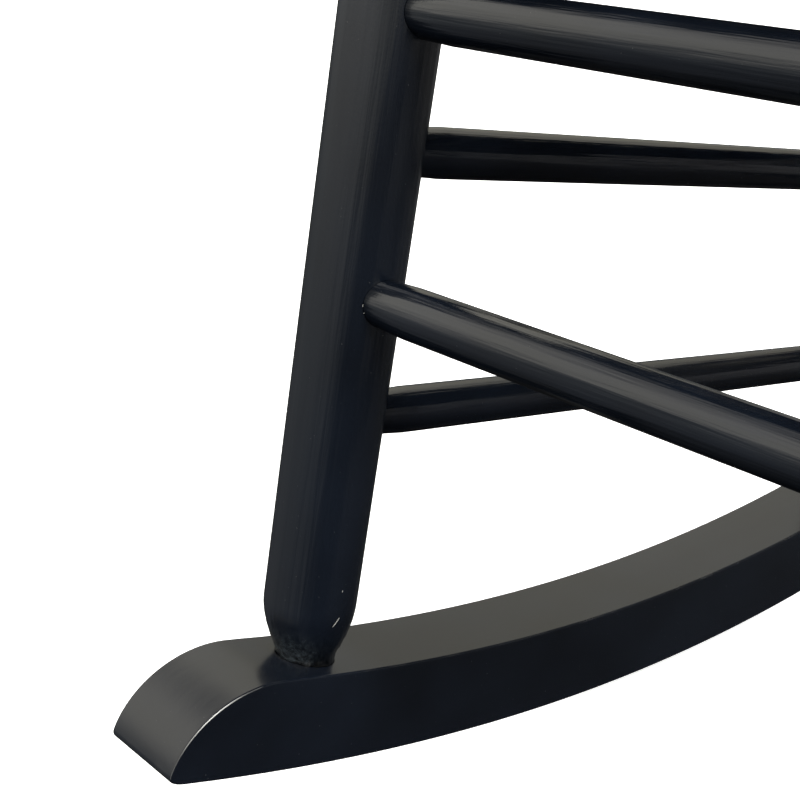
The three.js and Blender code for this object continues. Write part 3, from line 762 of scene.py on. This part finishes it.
# Sizes of the patterns, as noise scales
PATCHES = 14
SMEARS = 26
RUBBED_PLACES = 70
RIPPLES = 110
STEEL_RUBBING = 300
NECK_SCUFFS = 380
GRAIN_LINES = 420
STEEL_SHEEN = 500
BRUSHING = 700
ORANGE_PEEL = 850
FINE_SPECKS = 900
STEEL_PORES = 1400
PRIMER_STAINS = 1500
PRIMER_PORES = 1800
# Other looks
ON_EDGES = (0.3, 1)                  # the part of the edge attribute that counts as an edge
MOST_WEAR = 0.5
MOST_DUST = 0.35
MOST_SCUFF = 0.85
MOST_STEEL_WEAR = 0.6
NECK_DULLNESS = 0.16
WEAR_DULLNESS = 0.15
PAINT_IOR = 1.5
BRUSH_MARKS = 0.7 * MM
STEEL_PORE_DEPTH = 0.02 * MM
PRIMER_PORE_DEPTH = 0.03 * MM
BLACK = (0.0033, 0.0048, 0.0082)
FADED_BLACK = tuple(1.9 * value for value in BLACK)
DUST = (0.16, 0.16, 0.15)
WORN = (0.035, 0.035, 0.034)
# the colour of the painted shade round the foot of a leg
PAINTED_SHADE = (0.0008, 0.001, 0.0014)
# the colour of the painted highlight on a rocker's toe
PAINTED_HIGHLIGHT = (0.8, 0.8, 0.76)
SCUFFED = (0.07, 0.088, 0.105)
OXIDE = (0.075, 0.075, 0.08)
BRIGHT_STEEL = (0.3, 0.29, 0.28)
DULL_PRIMER = (0.32, 0.32, 0.29)
CLEAN_PRIMER = (0.6, 0.6, 0.56)


def paint(name, roughness, roughness_spread, peel, grain_lines, ripple):
    """Black paint on wood, with the depths of its orange peel, its grain lines and its broad ripples."""
    nodes = Nodes(name)
    rubbing = nodes.ramp(nodes.noise(RUBBED_PLACES, detail=4), 0.5, 0.72)
    worn = nodes.product(nodes.ramp(nodes.edge, *ON_EDGES), nodes.product(rubbing, MOST_WEAR))
    neck = nodes.attribute("neck")
    scuffs = nodes.ramp(nodes.noise(NECK_SCUFFS, detail=5, roughness=0.6), 0.36, 0.7)
    dust = nodes.ramp(nodes.noise(FINE_SPECKS, detail=1), 0.79, 0.83)
    patches = nodes.ramp(nodes.noise(PATCHES, detail=2), 0.35, 0.7)

    base = nodes.blend(patches, BLACK, FADED_BLACK)
    base = nodes.blend(nodes.product(dust, MOST_DUST), base, DUST)
    base = nodes.blend(worn, base, WORN)
    # Painted shade: the foot of a leg is darkened round its joint with the rocker.
    base = nodes.blend(nodes.attribute("shade"), base, PAINTED_SHADE)
    # Painted highlight: a pale line along the inner edge of a rocker's toe.
    base = nodes.blend(nodes.attribute("wear_and_painted_highlight"), base, PAINTED_HIGHLIGHT)
    base = nodes.blend(nodes.product(nodes.product(neck, scuffs), MOST_SCUFF), base, SCUFFED)

    smears = nodes.noise(SMEARS, nodes.stretched(0.12))
    gloss = nodes.ramp(smears, 0.3, 0.7, roughness - roughness_spread, roughness + roughness_spread)
    gloss = nodes.maths("ADD", gloss, nodes.product(neck, NECK_DULLNESS))
    gloss = nodes.maths("ADD", gloss, nodes.product(worn, WEAR_DULLNESS))

    normal = nodes.bump(nodes.noise(GRAIN_LINES, nodes.stretched(0.03)), grain_lines)
    normal = nodes.bump(nodes.noise(RIPPLES, nodes.stretched(0.02), detail=2), ripple, normal)
    normal = nodes.bump(nodes.noise(ORANGE_PEEL, detail=2), peel, normal)
    normal = nodes.bump(nodes.product(neck, nodes.noise(BRUSHING, detail=4)), BRUSH_MARKS, normal)
    nodes.connect(Base_Color=base, Roughness=gloss, Normal=normal)
    nodes.shader.inputs["IOR"].default_value = PAINT_IOR
    return nodes.material


def oxide_steel():
    """Blackened steel, turned, with bright worn edges."""
    nodes = Nodes("oxide_steel")
    rubbing = nodes.ramp(nodes.noise(STEEL_RUBBING), 0.4, 0.65)
    wear_and_painted_highlight = nodes.product(nodes.ramp(nodes.edge, *ON_EDGES), rubbing)
    base = nodes.blend(nodes.product(wear_and_painted_highlight, MOST_STEEL_WEAR), OXIDE, BRIGHT_STEEL)
    gloss = nodes.ramp(nodes.noise(STEEL_SHEEN), 0.3, 0.7, 0.34, 0.5)
    pores = nodes.bump(nodes.noise(STEEL_PORES), STEEL_PORE_DEPTH)
    nodes.connect(Base_Color=base, Roughness=gloss, Normal=pores)
    nodes.shader.inputs["Metallic"].default_value = 1
    return nodes.material


def chipped_primer():
    """Bare pale primer where the paint has chipped."""
    nodes = Nodes("chipped_primer")
    base = nodes.blend(nodes.noise(PRIMER_STAINS), DULL_PRIMER, CLEAN_PRIMER)
    gloss = nodes.ramp(nodes.noise(FINE_SPECKS), 0.3, 0.7, 0.5, 0.7)
    pores = nodes.bump(nodes.noise(PRIMER_PORES), PRIMER_PORE_DEPTH)
    nodes.connect(Base_Color=base, Roughness=gloss, Normal=pores)
    return nodes.material


FINISHES = {
    "rocker_paint": paint("rocker_paint", 0.23, 0.03, 0.025 * MM, grain_lines=0.035 * MM, ripple=0.08 * MM),
    "turned_paint": paint("turned_paint", 0.16, 0.04, 0.03 * MM, grain_lines=0.36 * MM, ripple=0.7 * MM),
    "board_paint": paint("board_paint", 0.28, 0.04, 0.012 * MM, grain_lines=0.02 * MM, ripple=0.05 * MM),
    "steel": oxide_steel(),
}


# ---- Finishing the pieces --------------------------------------------------------------------

SHARP = math.radians(32)
FLAT_WEIGHT = 80
ROUNDED_FROM, ROUNDED_TO = math.radians(3), math.radians(9)
NECK_ROUGH_FROM = 2.5 * MM
NECK_ROUGH_TO = 17 * MM
NECK_SHADE_TO = 13 * MM
ROUGH_SIDE = Vector((0.3, -0.95))
ROUGH_ALL_ROUND = 0.1                # how rough the other sides are
HIGHLIGHT_CENTRE = 24 * MM                 # from the toe, where the painted highlight is palest
HIGHLIGHT_REACH = 20 * MM
HIGHLIGHT_LEAST = 0.1
HIGHLIGHT_SLOPES = (0.7, 0.87)             # picks one row of points on the rounded edge by their normals


def write_attribute(mesh, name, kind, values):
    attribute = mesh.attributes.new(name, kind, "POINT")
    attribute.data.foreach_set("vector" if kind == "FLOAT_VECTOR" else "value", values)


def edge_values(mesh):
    """How much each point lies on a rounded or sharp edge, from 0 to 1."""
    bm = bmesh.new()
    bm.from_mesh(mesh)
    bm.normal_update()
    values = []
    for vert in bm.verts:
        turn = max(vert.normal.angle(face.normal, 0) for face in vert.link_faces)
        values.append(min(1, max(0, (turn - ROUNDED_FROM) / (ROUNDED_TO - ROUNDED_FROM))))
    bm.free()
    return values


def neck_value(point):
    """How rough the paint is near the foot of a leg: most a little above the rocker, at the front."""
    facing = max(0, Vector((point.x, point.y)).normalized().dot(ROUGH_SIDE))
    rise = min(1, max(0, point.z / NECK_ROUGH_FROM - 0.3))
    fall = min(1, max(0, 1.15 - point.z / NECK_ROUGH_TO))
    return rise * fall * (ROUGH_ALL_ROUND + (1 - ROUGH_ALL_ROUND) * facing ** 3)


def shade_value(point):
    """How much painted shade darkens the paint round the foot of a leg, where it stands in the rocker."""
    return min(1, max(0, 1.2 - point.z / NECK_SHADE_TO))


def describe(mesh, grain, necked):
    """Gives the mesh what the materials read: places along the grain, edges, and the neck of a leg with the
    painted shade at its foot.
    """
    shift = Vector([random.uniform(-5, 5) for _ in range(3)])
    across = [i for i in range(3) if i != grain]
    coords = []
    for v in mesh.vertices:
        coords += [v.co[across[0]] + shift.x, v.co[across[1]] + shift.y, v.co[grain] + shift.z]
    write_attribute(mesh, "grain", "FLOAT_VECTOR", coords)
    write_attribute(mesh, "edge", "FLOAT", edge_values(mesh))
    for attribute, value in (("neck", neck_value), ("shade", shade_value)):
        write_attribute(mesh, attribute, "FLOAT", [value(v.co) if necked else 0 for v in mesh.vertices])


def paint_toe_highlight(mesh, inward):
    """Paints a thin highlight along the inner edge of a rocker's toe: a pale line, palest at one place and
    fading both ways.
    """
    toe = min(v.co.y for v in mesh.vertices)
    least, most = HIGHLIGHT_SLOPES
    values = []
    for v in mesh.vertices:
        place = v.co.y - toe
        on_edge = least < v.normal.x * inward < most and v.normal.z > 0 and place < 2 * HIGHLIGHT_CENTRE
        values.append(max(HIGHLIGHT_LEAST, 1 - abs(place - HIGHLIGHT_CENTRE) / HIGHLIGHT_REACH) if on_edge else 0)
    write_attribute(mesh, "wear_and_painted_highlight", "FLOAT", values)


def finish_piece(name, made):
    piece = made["object"]
    mesh = piece.data
    mesh.shade_smooth()
    mesh.set_sharp_from_angle(angle=SHARP)
    describe(mesh, made["grain"], name.startswith(("front_leg", "back_post")))
    # a painted highlight along the inner edge of each rocker's toe
    if name in ("rocker_left", "rocker_right"):
        paint_toe_highlight(mesh, -1 if name == "rocker_left" else 1)
    mesh.materials.clear()
    mesh.materials.append(FINISHES[made["finish"]])
    if made["flat"]:
        weighted = piece.modifiers.new("flat_faces", "WEIGHTED_NORMAL")
        weighted.keep_sharp = True
        weighted.weight = FLAT_WEIGHT
    mesh.transform(piece.matrix_world)
    piece.matrix_world = Matrix.Identity(4)
    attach(piece, "root")
    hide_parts(name)


for name, made in pieces.items():
    finish_piece(name, made)
for name in ("arm_screw_front_left", "arm_screw_front_right"):
    screw = frame["nodes"][name]
    screw.data.materials.clear()
    screw.data.materials.append(FINISHES["steel"])


# ---- Chips in the paint ----------------------------------------------------------------------

PRIMER = chipped_primer()
CHIP_LIFT = 0.06 * MM
CHIP_ROWS = 12
CHIP_COLUMNS = 4
CHIP_FULLNESS = 0.75                 # mean share of the full width
CHIP_RAGGEDNESS = 0.5
CHIP_TEETH = 4                       # how finely the edges are ragged
CHIP_TAPER = 0.98                    # 1 would bring the ends to a point
CHIP_CROWN = 0.8                     # 1 would bring the sides down to the paint


def radius_at(profile, height):
    """The radius of a turned piece at a height, from its (radius, height) profile."""
    for (low_radius, low), (high_radius, high) in zip(profile, profile[1:]):
        if low <= height < high:
            return low_radius + (high_radius - low_radius) * (height - low) / (high - low)


def add_chip(name, height, angle, length, width, slant):
    """A sliver of bare primer on the right front leg: a thin lens that follows the round surface."""
    profile = leg_profile(LEG_FULL_HEIGHT)
    bm = bmesh.new()
    rows = []
    for t in spread(-1, 1, CHIP_ROWS):
        z = height + 0.5 * length * t * math.cos(slant)
        radius = radius_at(profile, z)
        along = angle + 0.5 * length * t * math.sin(slant) / radius
        ragged = CHIP_FULLNESS + CHIP_RAGGEDNESS * noise.noise(Vector((t * CHIP_TEETH, height * 999, 0)))
        half = 0.5 * width * math.sqrt(1 - CHIP_TAPER * t * t) * ragged
        row = []
        for u in spread(-1, 1, CHIP_COLUMNS):
            a = along + half * u * math.cos(slant) / radius
            out = radius + CHIP_LIFT * (1 - CHIP_CROWN * u * u)
            row.append(bm.verts.new((out * math.cos(a), out * math.sin(a), z - half * u * math.sin(slant))))
        rows.append(row)
    for low, high in zip(rows, rows[1:]):
        for i in range(CHIP_COLUMNS):
            bm.faces.new((low[i], low[i + 1], high[i + 1], high[i]))
    mesh = bpy.data.meshes.new(name)
    bm.to_mesh(mesh)
    bm.free()
    chip = bpy.data.objects.new(name, mesh)
    bpy.context.scene.collection.objects.link(chip)
    mesh.shade_smooth()
    describe(mesh, 2, False)
    mesh.transform(placed(LEG_TURN, legs["right"]))
    mesh.materials.append(PRIMER)
    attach(chip, "root")


CHIPS = {   # height, degrees round the leg, length, width, slant in radians
    "chip_at_foot": (25.3 * MM, -4, 5.4 * MM, 0.6 * MM, math.radians(31)),
    "chip_above_foot": (40.4 * MM, -1.5, 0.9 * MM, 0.5 * MM, math.radians(20)),
    "chip_by_rung": (171.4 * MM, -28.3, 1.2 * MM, 0.38 * MM, 0),
    "chip_under_rung": (168.3 * MM, -26, 0.7 * MM, 0.3 * MM, 0.3),
}
for name, (height, degrees, length, width, slant) in CHIPS.items():
    add_chip(name, height, math.radians(degrees), length, width, slant)


# ---- Stage, light and camera -----------------------------------------------------------------

# The camera is fitted to the photograph's perspective
CAMERA_FROM_FOOT = Vector((0.4682, -0.3454, 0.3742))
CAMERA_AZIMUTH = math.radians(48.94)
CAMERA_DOWN = math.radians(23.05)
CAMERA_ROLL = math.radians(-0.9)
LENS = 65.93
SENSOR = 36
FLOOR_RADIUS = 14
DOME_RADIUS = 30


def add_camera():
    data = bpy.data.cameras.new("camera")
    data.sensor_width = SENSOR
    data.lens = LENS
    camera = bpy.data.objects.new("camera", data)
    bpy.context.scene.collection.objects.link(camera)
    bpy.context.scene.camera = camera
    aim = Matrix.Rotation(CAMERA_AZIMUTH, 4, "Z") @ Matrix.Rotation(math.pi / 2 - CAMERA_DOWN, 4, "X")
    place = Matrix.Translation(LEG_TURN @ legs["right"] + CAMERA_FROM_FOOT)
    camera.matrix_world = place @ aim @ Matrix.Rotation(CAMERA_ROLL, 4, "Z")


def add_floor():
    """A round pale floor that the camera sees, left out of what the paint reflects."""
    bm = bmesh.new()
    bmesh.ops.create_circle(bm, cap_ends=True, segments=96, radius=FLOOR_RADIUS)
    mesh = bpy.data.meshes.new("floor")
    bm.to_mesh(mesh)
    bm.free()
    floor = bpy.data.objects.new("floor", mesh)
    bpy.context.scene.collection.objects.link(floor)
    material = bpy.data.materials.new("floor")
    material.use_nodes = True
    shader = material.node_tree.nodes["Principled BSDF"]
    shader.inputs["Base Color"].default_value = (0.86, 0.86, 0.86, 1)
    shader.inputs["Roughness"].default_value = 0.9
    shader.inputs["Specular IOR Level"].default_value = 0.1
    shader.inputs["Emission Color"].default_value = (1, 1, 1, 1)
    shader.inputs["Emission Strength"].default_value = 0.8
    mesh.materials.append(material)
    floor.visible_glossy = False
    floor.visible_diffuse = False


def add_backdrop():
    """A plain pale dome far outside the floor, which only the camera sees."""
    bm = bmesh.new()
    bmesh.ops.create_uvsphere(bm, u_segments=48, v_segments=24, radius=DOME_RADIUS)
    mesh = bpy.data.meshes.new("backdrop")
    bm.to_mesh(mesh)
    bm.free()
    dome = bpy.data.objects.new("backdrop", mesh)
    bpy.context.scene.collection.objects.link(dome)
    material = bpy.data.materials.new("backdrop")
    material.use_nodes = True
    shader = material.node_tree.nodes["Principled BSDF"]
    shader.inputs["Base Color"].default_value = (0, 0, 0, 1)
    shader.inputs["Emission Color"].default_value = (1, 1, 1, 1)
    shader.inputs["Emission Strength"].default_value = 1
    mesh.materials.append(material)
    for flag in ("visible_glossy", "visible_diffuse", "visible_shadow", "visible_transmission"):
        setattr(dome, flag, False)


def add_world():
    """A soft studio: bright before the sitter and to their right, dim behind, dark below."""
    world = bpy.data.worlds.new("studio")
    bpy.context.scene.world = world
    world.use_nodes = True
    tree = world.node_tree
    direction = tree.nodes.new("ShaderNodeTexCoord").outputs["Generated"]
    split = tree.nodes.new("ShaderNodeSeparateXYZ")
    tree.links.new(direction, split.inputs[0])
    toward = tree.nodes.new("ShaderNodeVectorMath")
    toward.operation = "DOT_PRODUCT"
    toward.inputs[1].default_value = BRIGHT_SIDE
    tree.links.new(direction, toward.inputs[0])

    def ramp(value, stops, most=1):
        """A colour for each value from -1 to 1, as a share of the most light."""
        node = tree.nodes.new("ShaderNodeValToRGB")
        elements = node.color_ramp.elements
        while len(elements) < len(stops):
            elements.new(0.5)
        for element, (place, colour) in zip(elements, stops):
            element.position = (place + 1) / 2
            element.color = (*(value / most for value in colour), 1)
        shift = tree.nodes.new("ShaderNodeMapRange")
        shift.inputs["From Min"].default_value = -1
        tree.links.new(value, shift.inputs["Value"])
        tree.links.new(shift.outputs["Result"], node.inputs["Fac"])
        return node.outputs["Color"]

    def mix(kind, factor, a, b):
        node = tree.nodes.new("ShaderNodeMix")
        node.data_type = "RGBA"
        node.blend_type = kind
        if isinstance(factor, bpy.types.NodeSocket):
            tree.links.new(factor, node.inputs["Factor"])
        else:
            node.inputs["Factor"].default_value = factor
        colours = [i for i in node.inputs if i.type == "RGBA"]
        tree.links.new(a, colours[0])
        tree.links.new(b, colours[1])
        return next(o for o in node.outputs if o.type == "RGBA")

    height = split.outputs["Z"]
    side = toward.outputs["Value"]
    dim = mix("MULTIPLY", 1, ramp(height, DIM_STOPS, MOST_LIGHT), ramp(side, FADE_STOPS))
    walls = mix("MIX", ramp(side, SHARE_STOPS), dim, ramp(height, BRIGHT_STOPS, MOST_LIGHT))
    horizon = ramp(height, HORIZON_STOPS, MOST_LIGHT)
    horizon = mix("MULTIPLY", 1, horizon, ramp(side, HORIZON_SHARE_STOPS))
    studio = mix("ADD", 1, walls, horizon)
    background = tree.nodes["Background"]
    tree.links.new(studio, background.inputs["Color"])
    background.inputs["Strength"].default_value = MOST_LIGHT


def grey(value):
    return (value, value, value)


# Each stop is a place from -1 to 1, towards BRIGHT_SIDE or upwards, and its light
BRIGHT_SIDE = (-0.5, -0.866, 0)
MOST_LIGHT = 2.5
SHARE_STOPS = (
    (-1, grey(0)), (0, grey(0)), (0.34, grey(0.27)), (0.64, grey(0.68)), (0.88, grey(1)), (1, grey(1)),
)
FADE_STOPS = (
    (-1, grey(0.02)), (-0.92, grey(0.12)), (-0.82, grey(0.4)), (-0.6, grey(0.58)), (-0.3, grey(0.8)),
    (0, grey(1)), (1, grey(1)),
)
BRIGHT_STOPS = (
    (-1, grey(0)), (-0.8, grey(0.08)), (-0.6, (0.15, 0.16, 0.18)), (-0.42, (0.14, 0.15, 0.17)),
    (-0.26, (0.14, 0.15, 0.16)), (-0.09, (0.16, 0.18, 0.19)), (0, (0.25, 0.26, 0.25)),
    (0.09, (0.45, 0.45, 0.43)), (0.26, (1.38, 1.35, 1.26)), (0.42, (1.85, 1.8, 1.62)),
    (0.57, (1.95, 1.9, 1.74)), (0.7, (2.2, 2.14, 2)), (0.82, (2.5, 2.4, 2.25)), (1, (2.5, 2.4, 2.25)),
)
DIM_STOPS = (
    (-1, grey(0)), (-0.1, grey(0.02)), (0.03, grey(0.15)), (0.12, (0.57, 0.55, 0.46)),
    (0.26, (0.7, 0.67, 0.53)), (0.34, (0.98, 0.94, 0.8)), (0.5, (1.18, 1.14, 0.98)),
    (0.64, (1.55, 1.49, 1.3)), (0.74, grey(0.3)), (1, grey(0.1)),
)
HORIZON_STOPS = (
    (-1, grey(0)), (-0.5, grey(0.04)), (-0.26, grey(0.14)), (-0.09, grey(0.23)), (0.03, grey(0.32)),
    (0.12, grey(0.14)), (0.2, grey(0)), (1, grey(0)),
)
HORIZON_SHARE_STOPS = (
    (-1, grey(1)), (-0.64, grey(1)), (-0.4, grey(0.25)), (0, grey(0.05)), (0.34, grey(0.15)),
    (0.64, grey(0.55)), (0.87, grey(0.85)), (1, grey(1)),
)
WASH_SPREAD = math.radians(100)
ORIGIN = (0, 0, 0)
SOFTBOX_FROM_TOE = 6 * Vector((0.67, 0.03, 0.735))


def add_lamp(name, kind, energy, place, target, **settings):
    data = bpy.data.lights.new(name, kind)
    data.energy = energy
    for key, value in settings.items():
        setattr(data, key, value)
    lamp = bpy.data.objects.new(name, data)
    bpy.context.scene.collection.objects.link(lamp)
    lamp.location = place
    lamp.rotation_mode = "QUATERNION"
    lamp.rotation_quaternion = (Vector(target) - Vector(place)).to_track_quat("-Z", "Y")
    return lamp


add_camera()
add_floor()
add_backdrop()
add_world()
# The two washes light the chair from behind and leave no highlights
wash = add_lamp("wash", "SUN", energy=3, place=(1, 1.2, 0.5), target=ORIGIN, angle=WASH_SPREAD)
back_wash = add_lamp("back_wash", "SUN", energy=6, place=(-0.35, 1, 0), target=ORIGIN, angle=WASH_SPREAD)
for lamp in (wash, back_wash):
    lamp.visible_glossy = False
toe = Vector((centre("rocker_right").x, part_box("rocker_right")[0].y, 0))
add_lamp("softbox", "AREA", energy=380, place=toe + SOFTBOX_FROM_TOE, target=toe,
         shape="RECTANGLE", size=3.2, size_y=3)
bpy.context.scene.view_settings.view_transform = "Standard"
